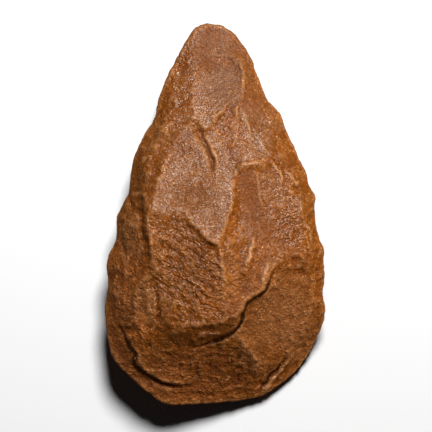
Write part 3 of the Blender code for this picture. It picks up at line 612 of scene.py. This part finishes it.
def stretched_skin(arrises, side, sag):
    """The height of a skin held by the arrises and by the rim on its side, on the finest grid."""
    held = np.vstack([bend(line, ARRIS_POINTS) for line in arrises.values()])
    skin, cell = None, GRID_CELL * COARSEST
    while cell >= GRID_CELL:
        nx, ny = np.rint(2 * GRID_HALF / cell).astype(int) + 1
        x, y = np.meshgrid(
            np.linspace(-GRID_HALF[0], GRID_HALF[0], nx), np.linspace(-GRID_HALF[1], GRID_HALF[1], ny)
        )
        bearing, distance = polar(x, y)
        outside = distance >= outline_radius(bearing)
        middle, half, _ = edge_shape(bearing)
        height = middle + side * half
        total, count = np.zeros(x.shape), np.zeros(x.shape)
        ix, iy = np.rint((held[:, :2] + GRID_HALF) / cell).astype(int).T
        np.add.at(total, (iy, ix), held[:, 2])
        np.add.at(count, (iy, ix), 1)
        on_arris = (count > 0) & ~outside
        height = np.where(on_arris, total / np.maximum(count, 1), height)
        fixed = outside | on_arris
        start = height if skin is None else read_grid(skin, 2 * cell, x, y)
        skin = relax(np.where(fixed, height, start), ~fixed, sag * cell**2 / 4)
        cell /= 2
    return skin


def on_oval(x, y, cx, cy, heading, half_length, half_width):
    """The points on an oval's own axes, on which its rim is 1 from its middle."""
    a = np.radians(heading)
    u = ((x - cx) * np.cos(a) + (y - cy) * np.sin(a)) / half_length
    v = ((y - cy) * np.cos(a) - (x - cx) * np.sin(a)) / half_width
    return u, v


def flakes_depth(flakes, x, y):
    """Depth of the deepest flake scar at each point."""
    depth = np.zeros(np.shape(x))
    for *oval, deepest in flakes:
        u, v = on_oval(x, y, *oval)
        depth = np.maximum(depth, deepest * (1 - u**2 - v**2))
    return depth


def distance_along(path, x, y):
    """Distance from a path, how far along it that is from 0 to 1, and whether it's on the left."""
    p = bend(path, PATH_POINTS)
    legs = np.diff(p, axis=0)
    lengths = np.hypot(*legs.T)
    starts = np.concatenate([[0], np.cumsum(lengths)])
    best, share, left = np.full(np.shape(x), np.inf), np.zeros(np.shape(x)), np.zeros(np.shape(x), bool)
    for corner, leg, length, start in zip(p, legs, lengths, starts):
        dx, dy = x - corner[0], y - corner[1]
        t = np.clip((dx * leg[0] + dy * leg[1]) / length**2, 0, 1)
        away = np.hypot(dx - t * leg[0], dy - t * leg[1])
        nearer = away < best
        share = np.where(nearer, (start + t * length) / starts[-1], share)
        left = np.where(nearer, leg[0] * dy - leg[1] * dx > 0, left)
        best = np.minimum(best, away)
    return best, share, left


def strength_along(share, away, reach):
    """How strong a carved path is: dying away at its ends and with the distance from it."""
    ends = np.clip(share / END_FADE, 0, 1) * np.clip((1 - share) / END_FADE, 0, 1)
    return ends * np.exp(-((away / reach) ** 2))


def traces_height(traces, x, y):
    """Height of the grooves and ridges."""
    height = np.zeros(np.shape(x))
    for path, peak, half_width in traces:
        away, share, _ = distance_along(path, x, y)
        height += peak * strength_along(share, away, half_width)
    return height


def steps_height(steps, x, y):
    """Sheer drops on the left of a path, rising again with the distance from it."""
    height = np.zeros(np.shape(x))
    for path, drop, reach in steps:
        away, share, left = distance_along(path, x, y)
        height -= np.where(left, drop * strength_along(share, away, reach), 0)
    return height


def stirred(x, y, stirs=STIRS):
    """The points, each shifted a little, so that ridges run unevenly."""
    noise.seed_set(STIR_SEED)
    dx, dy = np.zeros(np.shape(x)), np.zeros(np.shape(x))
    for size, amount in stirs:
        shifts = [noise.noise_vector((px / size, py / size, 0))[:2] for px, py in zip(x, y)]
        dx, dy = (dx, dy) + amount * np.array(shifts).T
    return x + dx, y + dy


def wrap(ball):
    """Carries points of a unit ball onto the stone: its top half to the upper face."""
    bearing = np.arctan2(ball[:, 1], ball[:, 0])
    share = np.sqrt(1 - np.abs(ball[:, 2]))
    radius = share * outline_radius(bearing)
    x, y = CENTRE[0] + radius * np.cos(bearing), CENTRE[1] + radius * np.sin(bearing)
    edge, _, sudden = edge_shape(bearing)
    sx, sy = stirred(x, y)
    upper = read_grid(stretched_skin(UPPER_ARRISES, 1, UPPER_SAG), GRID_CELL, sx, sy)
    upper += steps_height(UPPER_STEPS, sx, sy) + traces_height(UPPER_TRACES, sx, sy)
    upper -= flakes_depth(UPPER_FLAKES, sx, sy)
    lower = read_grid(stretched_skin(LOWER_ARRISES, -1, -LOWER_SAG), GRID_CELL, sx, sy)
    lower += flakes_depth(LOWER_FLAKES, sx, sy)
    turn = np.sqrt(1 - np.minimum(share, 1) ** sudden)
    face = np.where(ball[:, 2] >= 0, upper, lower)
    return np.column_stack([x, y, edge + (face - edge) * turn])


def fit_to_axe(points):
    """Scales and shifts the form onto the CAD stone's own box, and levels the seat."""
    low, high = points.min(axis=0), points.max(axis=0)
    low[2] = 0.0
    points = AXE_LOW + (points - low) * (AXE_HIGH - AXE_LOW) / (high - low)
    points[:, 2] = np.maximum(points[:, 2], 0.0)
    return points


# ---- meshes ----


def evaluated(obj):
    """The object's mesh with its modifiers applied, as a new mesh."""
    graph = bpy.context.evaluated_depsgraph_get()
    return bpy.data.meshes.new_from_object(obj.evaluated_get(graph), depsgraph=graph)


def new_object(name, data):
    """An object in the scene, unmoved."""
    obj = bpy.data.objects.new(name, data)
    bpy.context.scene.collection.objects.link(obj)
    return obj


def vertex_values(mesh, name):
    """Places or normals of the vertices, one row each."""
    values = np.empty(len(mesh.vertices) * 3)
    mesh.vertices.foreach_get(name, values)
    return values.reshape(-1, 3)


def new_attribute(mesh, name, values):
    """Gives each vertex a value that the node trees read by name."""
    layer = mesh.attributes.new(name, "FLOAT", "POINT")
    layer.data.foreach_set("value", values.astype(np.float32))


def knapped_form():
    """The stone's form as an even skin of small quads, before its fine relief."""
    bm = bmesh.new()
    bmesh.ops.create_cube(bm, size=2.0)
    ball = new_object("ball", bpy.data.meshes.new("ball"))
    bm.to_mesh(ball.data)
    bm.free()
    fine = ball.modifiers.new("fine", "SUBSURF")
    fine.subdivision_type = "SIMPLE"
    fine.levels = fine.render_levels = CUBE_LEVELS
    skin = evaluated(ball)
    # The tangent evens out the quads where the cube's faces are blown up into the ball.
    points = np.tan(vertex_values(skin, "co") * np.pi / 4)
    points /= np.linalg.norm(points, axis=1, keepdims=True)
    points = fit_to_axe(wrap(points))
    skin.vertices.foreach_set("co", points.ravel())
    skin.update()
    ball.modifiers.remove(fine)
    ball.data = skin
    even = ball.modifiers.new("even", "REMESH")
    even.mode = "VOXEL"
    even.voxel_size = VOXEL
    even.use_smooth_shade = True
    form = evaluated(ball)
    bpy.data.objects.remove(ball)
    return form


def oval_strength(ovals, x, y):
    """The strongest of a set of soft ovals at each point, from 0 to 1."""
    strength = np.zeros(len(x))
    for *oval, peak in ovals:
        inwards = 1 - np.hypot(*on_oval(x, y, *oval))
        strength = np.maximum(strength, peak * np.clip(OVAL_EDGE * inwards, 0, 1))
    return strength


def plate_share(outline, x, y):
    """1 inside a closed outline and 0 outside, blended over its edge."""
    corners = np.array(outline, float)
    nearest, inside = np.full(len(x), np.inf), np.zeros(len(x), bool)
    for (ax, ay), (bx, by) in zip(corners, np.roll(corners, -1, axis=0)):
        dx, dy = bx - ax, by - ay
        along = np.clip(((x - ax) * dx + (y - ay) * dy) / (dx * dx + dy * dy), 0, 1)
        nearest = np.minimum(nearest, np.hypot(x - ax - along * dx, y - ay - along * dy))
        inside ^= ((ay > y) != (by > y)) & (x < ax + (y - ay) * dx / (dy or 1))
    return np.clip(0.5 + np.where(inside, nearest, -nearest) / PLATE_BLEND, 0, 1)


def traced(form):
    """Carves the fine traces of the upper face, and marks them, the rim, the plates and the areas."""
    points = vertex_values(form, "co") / MM
    facing_up = np.clip(vertex_values(form, "normal")[:, 2] * FACING_GAIN, 0, 1)
    x, y = stirred(*points.T[:2])
    cut = traces_height(FINE_TRACES, x, y) * facing_up
    points[:, 2] = np.maximum(points[:, 2] + cut, 0)
    form.vertices.foreach_set("co", points.ravel() * MM)
    form.update()
    new_attribute(form, "trace", cut)
    bearing, distance = polar(*points.T[:2])
    new_attribute(form, "rim", np.clip(1 - (outline_radius(bearing) - distance) / RIM_WIDTH, 0, 1))
    ragged = stirred(x, y, RAGGED)
    calms, wear_and_sheen_levels, outlines = zip(*PLATES)
    shares = np.array([plate_share(outline, *ragged) for outline in outlines])
    for name, strengths in (("calm", calms), ("wear_and_sheen", wear_and_sheen_levels)):
        new_attribute(form, name, (shares.T * strengths).max(axis=1) * facing_up)
    for name, ovals in AREAS.items():
        new_attribute(form, name, oval_strength(ovals, x, y) * facing_up)
    return form


# ---- node trees ----


class Tree:
    """Adds nodes and links to a node tree."""

    def __init__(self, tree):
        self.tree = tree

    def node(self, kind, settings=None, **inputs):
        made = self.tree.nodes.new(kind)
        for name, value in (settings or {}).items():
            setattr(made, name, value)
        for name, value in inputs.items():
            self.feed(made.inputs[name.replace("_", " ")], value)
        return made

    def feed(self, socket, value):
        if isinstance(value, bpy.types.NodeSocket):
            self.tree.links.new(value, socket)
        else:
            socket.default_value = value

    def calculated(self, kind, operation, *values, **named):
        made = self.node(kind, {"operation": operation}, **named)
        for socket, value in zip(made.inputs, values):
            self.feed(socket, value)
        return made.outputs

    def math(self, operation, *values):
        return self.calculated("ShaderNodeMath", operation, *values)[0]

    def plus(self, first, second):
        return self.math("ADD", first, second)

    def times(self, first, second):
        return self.math("MULTIPLY", first, second)

    def vector(self, operation, *values, **named):
        outputs = self.calculated("ShaderNodeVectorMath", operation, *values, **named)
        return outputs["Value" if operation in ("DOT_PRODUCT", "LENGTH") else "Vector"]

    def spread(self, value, low, high, start=0.0, end=1.0):
        """Carries low..high to start..end, held at both ends."""
        made = self.node(
            "ShaderNodeMapRange", Value=value, From_Min=low, From_Max=high, To_Min=start, To_Max=end,
        )
        return made.outputs["Result"]

    def drift(self, place, seed, scale, far):
        """How far another pattern is carried off here, by slow noise."""
        made = self.node("ShaderNodeTexNoise", {"noise_dimensions": "4D"}, Vector=place, W=seed, Scale=scale)
        return self.vector("SCALE", made.outputs["Color"], Scale=far)

    def noise(self, place, size, detail, rough, seed, kind="FBM"):
        """Noise from 0 to 1 whose lumps are about size across."""
        scale = self.math("DIVIDE", 1.0, size) if isinstance(size, bpy.types.NodeSocket) else 1.0 / size
        made = self.node(
            "ShaderNodeTexNoise", {"noise_dimensions": "4D", "noise_type": kind},
            Vector=place, W=seed, Scale=scale, Detail=detail, Roughness=rough,
        )
        return made.outputs["Fac"]

    def swings(self, *settings):
        """Noise from -0.5 to 0.5."""
        return self.math("SUBTRACT", self.noise(*settings), 0.5)

    def slants(self, cells, place):
        """A height that slopes across each cell its own way, and the direction of that slope."""
        tilt = self.vector("SUBTRACT", cells.outputs["Color"], MIDDLE_GREY)
        offset = self.vector("SUBTRACT", place, cells.outputs["Position"])
        return self.vector("DOT_PRODUCT", offset, tilt), tilt

    def reading(self, name):
        """An attribute of the stone."""
        if self.tree.type == "GEOMETRY":
            return self.node("GeometryNodeInputNamedAttribute", {"data_type": "FLOAT"}, Name=name).outputs[0]
        return self.node("ShaderNodeAttribute", {"attribute_name": name}).outputs["Fac"]

    def kept(self, share):
        """1 on rough skin, falling to share on the calmest."""
        return self.spread(self.reading("calm"), 0.0, 1.0, 1.0, share)

    def gained(self, name, gain):
        """1, and gain more where the area called name is at its strongest."""
        return self.plus(self.times(self.reading(name), gain), 1.0)

    def turned(self, place, heading):
        """The place on axes turned so that x runs along the heading."""
        made = self.node("ShaderNodeVectorRotate", {"rotation_type": "Z_AXIS"}, Vector=place, Angle=-heading)
        return made.outputs[0]

    def blend(self, share, first, second, kind="MIX"):
        """Mixes two colours, each given as a socket or as its red, green and blue."""
        made = self.node("ShaderNodeMix", {"data_type": "RGBA", "blend_type": kind})
        # The colour sockets of this node are inputs 6 and 7 and output 2.
        self.feed(made.inputs[0], share)
        for socket, value in zip(made.inputs[6:8], (first, second)):
            self.feed(socket, value if isinstance(value, bpy.types.NodeSocket) else (*value, 1.0))
        return made.outputs[2]

    def dimmed(self, colour, factor):
        """The colour times a number."""
        grey = self.node("ShaderNodeCombineColor", Red=factor, Green=factor, Blue=factor).outputs[0]
        return self.blend(1.0, colour, grey, "MULTIPLY")


# ---- fine relief, grown along the normals ----


def relief_tree():
    """Geometry nodes that raise the lumps, chips, ripples and rim nicks of a broken face."""
    tree = bpy.data.node_groups.new("broken face", "GeometryNodeTree")
    kinds = {"Geometry": "Geometry", **dict.fromkeys(RELIEF, "Float"), "Material": "Material"}
    for name, kind in kinds.items():
        tree.interface.new_socket(name, in_out="INPUT", socket_type="NodeSocket" + kind)
    tree.interface.new_socket("Geometry", in_out="OUTPUT", socket_type="NodeSocketGeometry")
    t = Tree(tree)
    given = t.node("NodeGroupInput").outputs
    place = t.node("GeometryNodeInputPosition").outputs[0]
    normal = t.node("GeometryNodeInputNormal").outputs[0]
    millimetres = t.vector("SCALE", place, Scale=1 / MM)

    def raised(size, height, detail, source):
        made = t.swings(source, given[size], detail, DETAIL_STRENGTH, given["Seed"])
        return t.times(made, given[height])

    wander = t.drift(millimetres, given["Seed"], WANDER_SCALE, CHIP_WANDER)
    warped = t.vector("ADD", millimetres, wander)
    cells = t.node(
        "ShaderNodeTexVoronoi", {"feature": "SMOOTH_F1", "voronoi_dimensions": "3D"},
        Vector=warped, Scale=t.math("DIVIDE", 1.0, given["Chip size"]), Smoothness=CHIP_SOFTNESS,
    )
    # Doubled, because no cell slants by more than a half.
    chips = t.times(t.times(t.slants(cells, warped)[0], 2.0), given["Chip slope"])
    height = t.plus(raised("Lump size", "Lump height", LUMP_DETAIL, millimetres), chips)
    height = t.times(height, t.times(t.kept(CALM_LUMPS), t.gained("coarse", COARSE_GAIN)))
    ripple_axes = t.vector("DIVIDE", t.turned(warped, RIPPLE_HEADING), RIPPLE_STRETCH)
    ripples = raised("Ripple size", "Ripple height", FINE_DETAIL, ripple_axes)
    height = t.plus(height, t.times(ripples, t.reading("rippled")))
    nicks = raised("Nick size", "Nick depth", FINE_DETAIL, millimetres)
    height = t.plus(height, t.times(t.plus(nicks, given["Rim growth"]), t.reading("rim")))
    moved = t.vector("ADD", place, t.vector("SCALE", normal, Scale=t.times(height, MM)))
    # Nothing goes under the ground that the stone lies on.
    above_ground = t.vector("MAXIMUM", moved, (-1.0, -1.0, 0.0))
    shifted = t.node("GeometryNodeSetPosition", Geometry=given["Geometry"], Position=above_ground)
    whole = t.node("GeometryNodeRealizeInstances", Geometry=shifted.outputs[0])
    dressed = t.node("GeometryNodeSetMaterial", Geometry=whole.outputs[0], Material=given["Material"])
    t.node("NodeGroupOutput", Geometry=dressed.outputs[0])
    return tree


def roughened(form, material):
    """The form with its fine relief, as a plain mesh."""
    raw = new_object("raw stone", form)
    grown = raw.modifiers.new("broken face", "NODES")
    grown.node_group = relief_tree()
    values = dict(RELIEF, Material=material)
    for item in grown.node_group.interface.items_tree:
        if item.in_out == "INPUT" and item.name in values:
            grown[item.identifier] = values[item.name]
    mesh = evaluated(raw)
    mesh.name = "stone"
    bpy.data.objects.remove(raw)
    return mesh


def bulge(mesh):
    """How far each vertex stands above the skin smoothed over its neighbours, in millimetres."""
    points, normals = vertex_values(mesh, "co") / MM, vertex_values(mesh, "normal")
    pairs = np.empty(len(mesh.edges) * 2, int)
    mesh.edges.foreach_get("vertices", pairs)
    a, b = pairs.reshape(-1, 2).T
    size = len(points)
    count = np.bincount(a, minlength=size) + np.bincount(b, minlength=size)
    smooth = points
    for _ in range(BULGE_ROUNDS):
        total = np.stack([
            np.bincount(a, column[b], size) + np.bincount(b, column[a], size) for column in smooth.T
        ], 1)
        smooth = (smooth + total / count[:, None]) / 2
    return ((points - smooth) * normals).sum(axis=1)


# ---- material ----


class Skin(Tree):
    """The tree of the stone's material, with its place in millimetres."""

    def __init__(self, tree):
        super().__init__(tree)
        self.place = self.vector("SCALE", self.node("ShaderNodeTexCoord").outputs["Object"], Scale=1 / MM)

    def cloud(self, name):
        """One of CLOUDS, as a share or a roughness."""
        settings, span = CLOUDS[name]
        return self.spread(self.noise(self.place, *settings), *span)

    def bump(self, name, place, kind="FBM"):
        """One of BUMPS, as a height in millimetres."""
        settings, height = BUMPS[name]
        return self.times(self.swings(place, *settings, kind), height)


def skin_relief(t):
    """Wrinkles, grit, creases, ripples and rings, as a height in millimetres."""
    wander = t.drift(t.place, WRINKLE_SEED, WANDER_SCALE, WRINKLE_WANDER)
    swirled = t.vector("ADD", t.place, wander)
    wrinkles = t.bump("wrinkles", swirled)
    relief = t.times(wrinkles, t.kept(CALM_WRINKLES))
    relief = t.plus(relief, t.bump("grit", t.place))
    creases = t.bump("creases", swirled, "RIDGED_MULTIFRACTAL")
    relief = t.plus(relief, t.times(creases, t.gained("ringed", RINGED_CREASES)))
    sway = t.drift(t.place, SWAY_SEED, 1.0 / SWAY_SIZE, SWAY)
    bent = t.vector("ADD", t.turned(t.place, RIPPLE_HEADING), sway)
    ripples = t.bump("ripples", t.vector("DIVIDE", bent, RIPPLE_STRETCH))
    relief = t.plus(relief, t.times(ripples, t.reading("rippled")))
    spoke = t.vector("MULTIPLY", t.vector("SUBTRACT", t.place, RING_CENTRE), (1.0, 1.0, 0.0))
    reach = t.plus(t.vector("LENGTH", spoke), t.times(wrinkles, RING_PUSH))
    rings = t.times(t.math("SINE", t.times(reach, TURN / RING_SPACING)), t.reading("ringed"))
    relief = t.plus(relief, t.times(rings, RING_HEIGHT))
    return t.times(relief, t.gained("coarse", COARSE_GAIN))


def skin_colour(t, relief, grains, stain_and_shade):
    """Iron browns in clouds, greyed by wear and painted sheen, with painted highlights on ridges, the lip
    and pale areas, painted shade in hollows, grooves and stain areas, and painted shadow in cracks.
    """
    colour = t.blend(t.cloud("orange"), DEEP_BROWN, ORANGE_BROWN)
    colour = t.blend(t.cloud("rust"), colour, RUST)
    colour = t.blend(t.cloud("tan"), colour, TAN)
    # Wear greys the plates; the grey is partly painted sheen.
    wear_and_sheen = t.times(t.reading("wear_and_sheen"), t.cloud("wear_and_sheen_cloud"))
    colour = t.blend(t.times(wear_and_sheen, WORN_SHEEN_SHARE), colour, WORN_SHEEN_GREY)
    colour = t.blend(t.reading("rusty"), colour, BRIGHT_RUST)
    # Pale areas: partly paler stone, partly painted light on faces the lamp leaves dark.
    pale_and_lit = t.reading("pale_and_lit")
    colour = t.blend(t.times(pale_and_lit, PALE_AND_LIT_SHARE), colour, HIGHLIGHT_TAN)
    # The lip gets a painted highlight.
    colour = t.blend(t.spread(pale_and_lit, *LIP_HIGHLIGHT_RANGE), colour, LIP_HIGHLIGHT)
    # Painted highlights on crests and raised traces, painted shade in hollows and grooves, painted shadow in
    # the cracks.
    heights = {"relief": relief, "bulge": t.reading("bulge"), "trace": t.reading("trace")}
    for source, start, full, most, paint, breaks in PAINTED_LIGHT_BY_HEIGHT:
        share = t.spread(heights[source], start, full, 0.0, most)
        if breaks:
            share = t.times(share, t.cloud(breaks))
        colour = t.blend(share, colour, paint)
    shade, _, pick = t.node("ShaderNodeSeparateColor", Color=grains).outputs
    swing = t.spread(t.reading("calm"), 0.0, 1.0, *GRAIN_SHADES)
    colour = t.dimmed(colour, t.plus(t.times(t.math("SUBTRACT", shade, 0.5), swing), 1.0))
    # Painted shade: the shaded areas are dimmed.
    colour = t.dimmed(colour, t.math("SUBTRACT", 1.0, t.times(t.reading("shaded"), SHADED_SHARE)))
    # Pale specks, partly painted glints.
    colour = t.blend(t.spread(pick, *GLINT_AND_PALE_GRAINS), colour, GLINT_AND_PALE_SPECK)
    # Stains, partly painted shade, turn the colour dark brown.
    return t.blend(t.times(stain_and_shade, STAIN_AND_SHADE_SHARE), colour, SHADE_AND_STAIN_BROWN)


def skin_roughness(t, grains, stain_and_shade):
    """Faintly glossy, with a few bright grains, and matt on the butt, the flanks and the areas of stains and
    painted shade.
    """
    _, pick, _ = t.node("ShaderNodeSeparateColor", Color=grains).outputs
    rough = t.math("SUBTRACT", t.cloud("roughness"), t.spread(pick, *BRIGHT_GRAINS))
    rough = t.math("SUBTRACT", rough, t.times(t.reading("rippled"), RIPPLED_GLOSS))
    rough = t.plus(rough, t.times(t.reading("matt"), MATT_ROUGHNESS))
    return t.plus(rough, t.times(stain_and_shade, STAIN_AND_SHADE_ROUGHNESS))


def grain_tilt(t, cells):
    """The height of quartz grains that each slant their own way, some far more than others."""
    slant, tilt = t.slants(cells, t.place)
    slant = t.times(slant, t.vector("LENGTH", tilt))
    sugar = t.plus(t.times(t.reading("sugary"), SUGAR_GAIN), t.kept(CALM_TILT))
    return t.times(slant, t.times(sugar, GRAIN_SLOPE))


def quartzite():
    """Iron-stained quartzite: orange brown, greyer where worn and where sheen is painted, sugary and faintly
    glossy.
    """
    material = bpy.data.materials.new("brown quartzite")
    material.use_nodes = True
    t = Skin(material.node_tree)
    shader = material.node_tree.nodes["Principled BSDF"]
    cells = t.node("ShaderNodeTexVoronoi", {"feature": "F1"}, Vector=t.place, Scale=1.0 / GRAIN_SIZE)
    grains = cells.outputs["Color"]
    stain_and_shade = t.times(t.reading("stain_and_shade"), t.cloud("stain_and_shade_cloud"))
    relief = skin_relief(t)
    bump = t.node("ShaderNodeBump", Strength=1.0, Distance=MM, Height=t.plus(relief, grain_tilt(t, cells)))
    t.feed(shader.inputs["Base Color"], skin_colour(t, relief, grains, stain_and_shade))
    t.feed(shader.inputs["Roughness"], skin_roughness(t, grains, stain_and_shade))
    t.feed(shader.inputs["Normal"], bump.outputs["Normal"])
    shader.inputs["Specular IOR Level"].default_value = STONE_SPECULAR
    shader.inputs["Specular Tint"].default_value = SPECULAR_TINT
    return material


# ---- floor, lamps and camera ----


def floor():
    """A white floor that throws little light back onto the stone."""
    bpy.ops.mesh.primitive_plane_add(size=FLOOR_SIZE, location=(0, 0, 0))
    plane = bpy.context.object
    plane.name = "floor"
    material = bpy.data.materials.new("white floor")
    material.use_nodes = True
    shader = material.node_tree.nodes["Principled BSDF"]
    shader.inputs["Roughness"].default_value = FLOOR_ROUGHNESS
    shader.inputs["Specular IOR Level"].default_value = 0.0
    t = Tree(material.node_tree)
    seen = t.node("ShaderNodeLightPath").outputs["Is Camera Ray"]
    t.feed(shader.inputs["Base Color"], t.blend(seen, FLOOR_BOUNCE, FLOOR_WHITE))
    plane.data.materials.append(material)


def room():
    """Light from all round: dim on the stone, pale behind it."""
    world = bpy.data.worlds.new("dark room")
    world.use_nodes = True
    t = Tree(world.node_tree)
    seen = t.node("ShaderNodeLightPath").outputs["Is Camera Ray"]
    background = world.node_tree.nodes["Background"]
    background.inputs["Color"].default_value = (1, 1, 1, 1)
    t.feed(background.inputs["Strength"], t.spread(seen, 0.0, 1.0, ROOM_LIGHT, BACKDROP_WHITE))
    bpy.context.scene.world = world


def lamps(stone):
    """A soft lamp over the tip, and two fills that light only the stone and don't show in its gloss."""
    lit = bpy.data.collections.new("lit by the fills")
    lit.objects.link(stone)
    for name, (heading, width, watts, lights_floor) in LAMPS.items():
        light = bpy.data.lights.new(name, "AREA")
        light.shape = "DISK"
        light.size = width
        light.energy = watts
        direction = Vector(heading).normalized()
        lamp = new_object(name, light)
        lamp.location = LAMP_TARGET + direction * LAMP_DISTANCE
        lamp.rotation_euler = direction.to_track_quat("Z", "Y").to_euler()
        if not lights_floor:
            lamp.light_linking.receiver_collection = lit
            lamp.visible_glossy = False


def camera():
    """Looks straight down from far off, as a long lens does."""
    view = bpy.data.cameras.new("camera")
    view.lens = LENS
    view.sensor_width = SENSOR
    view.clip_start = NEAREST_SEEN
    held = new_object("camera", view)
    x, y, z = VIEW_CENTRE
    held.location = (x, y, z + VIEW_WIDTH * LENS / SENSOR)
    bpy.context.scene.camera = held
    bpy.context.scene.view_settings.view_transform = "Standard"


stone_mesh = roughened(traced(knapped_form()), quartzite())
new_attribute(stone_mesh, "bulge", bulge(stone_mesh))
stone = new_object("stone", stone_mesh)
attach(stone, "root")
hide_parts("hand_axe")
floor()
room()
lamps(stone)
camera()
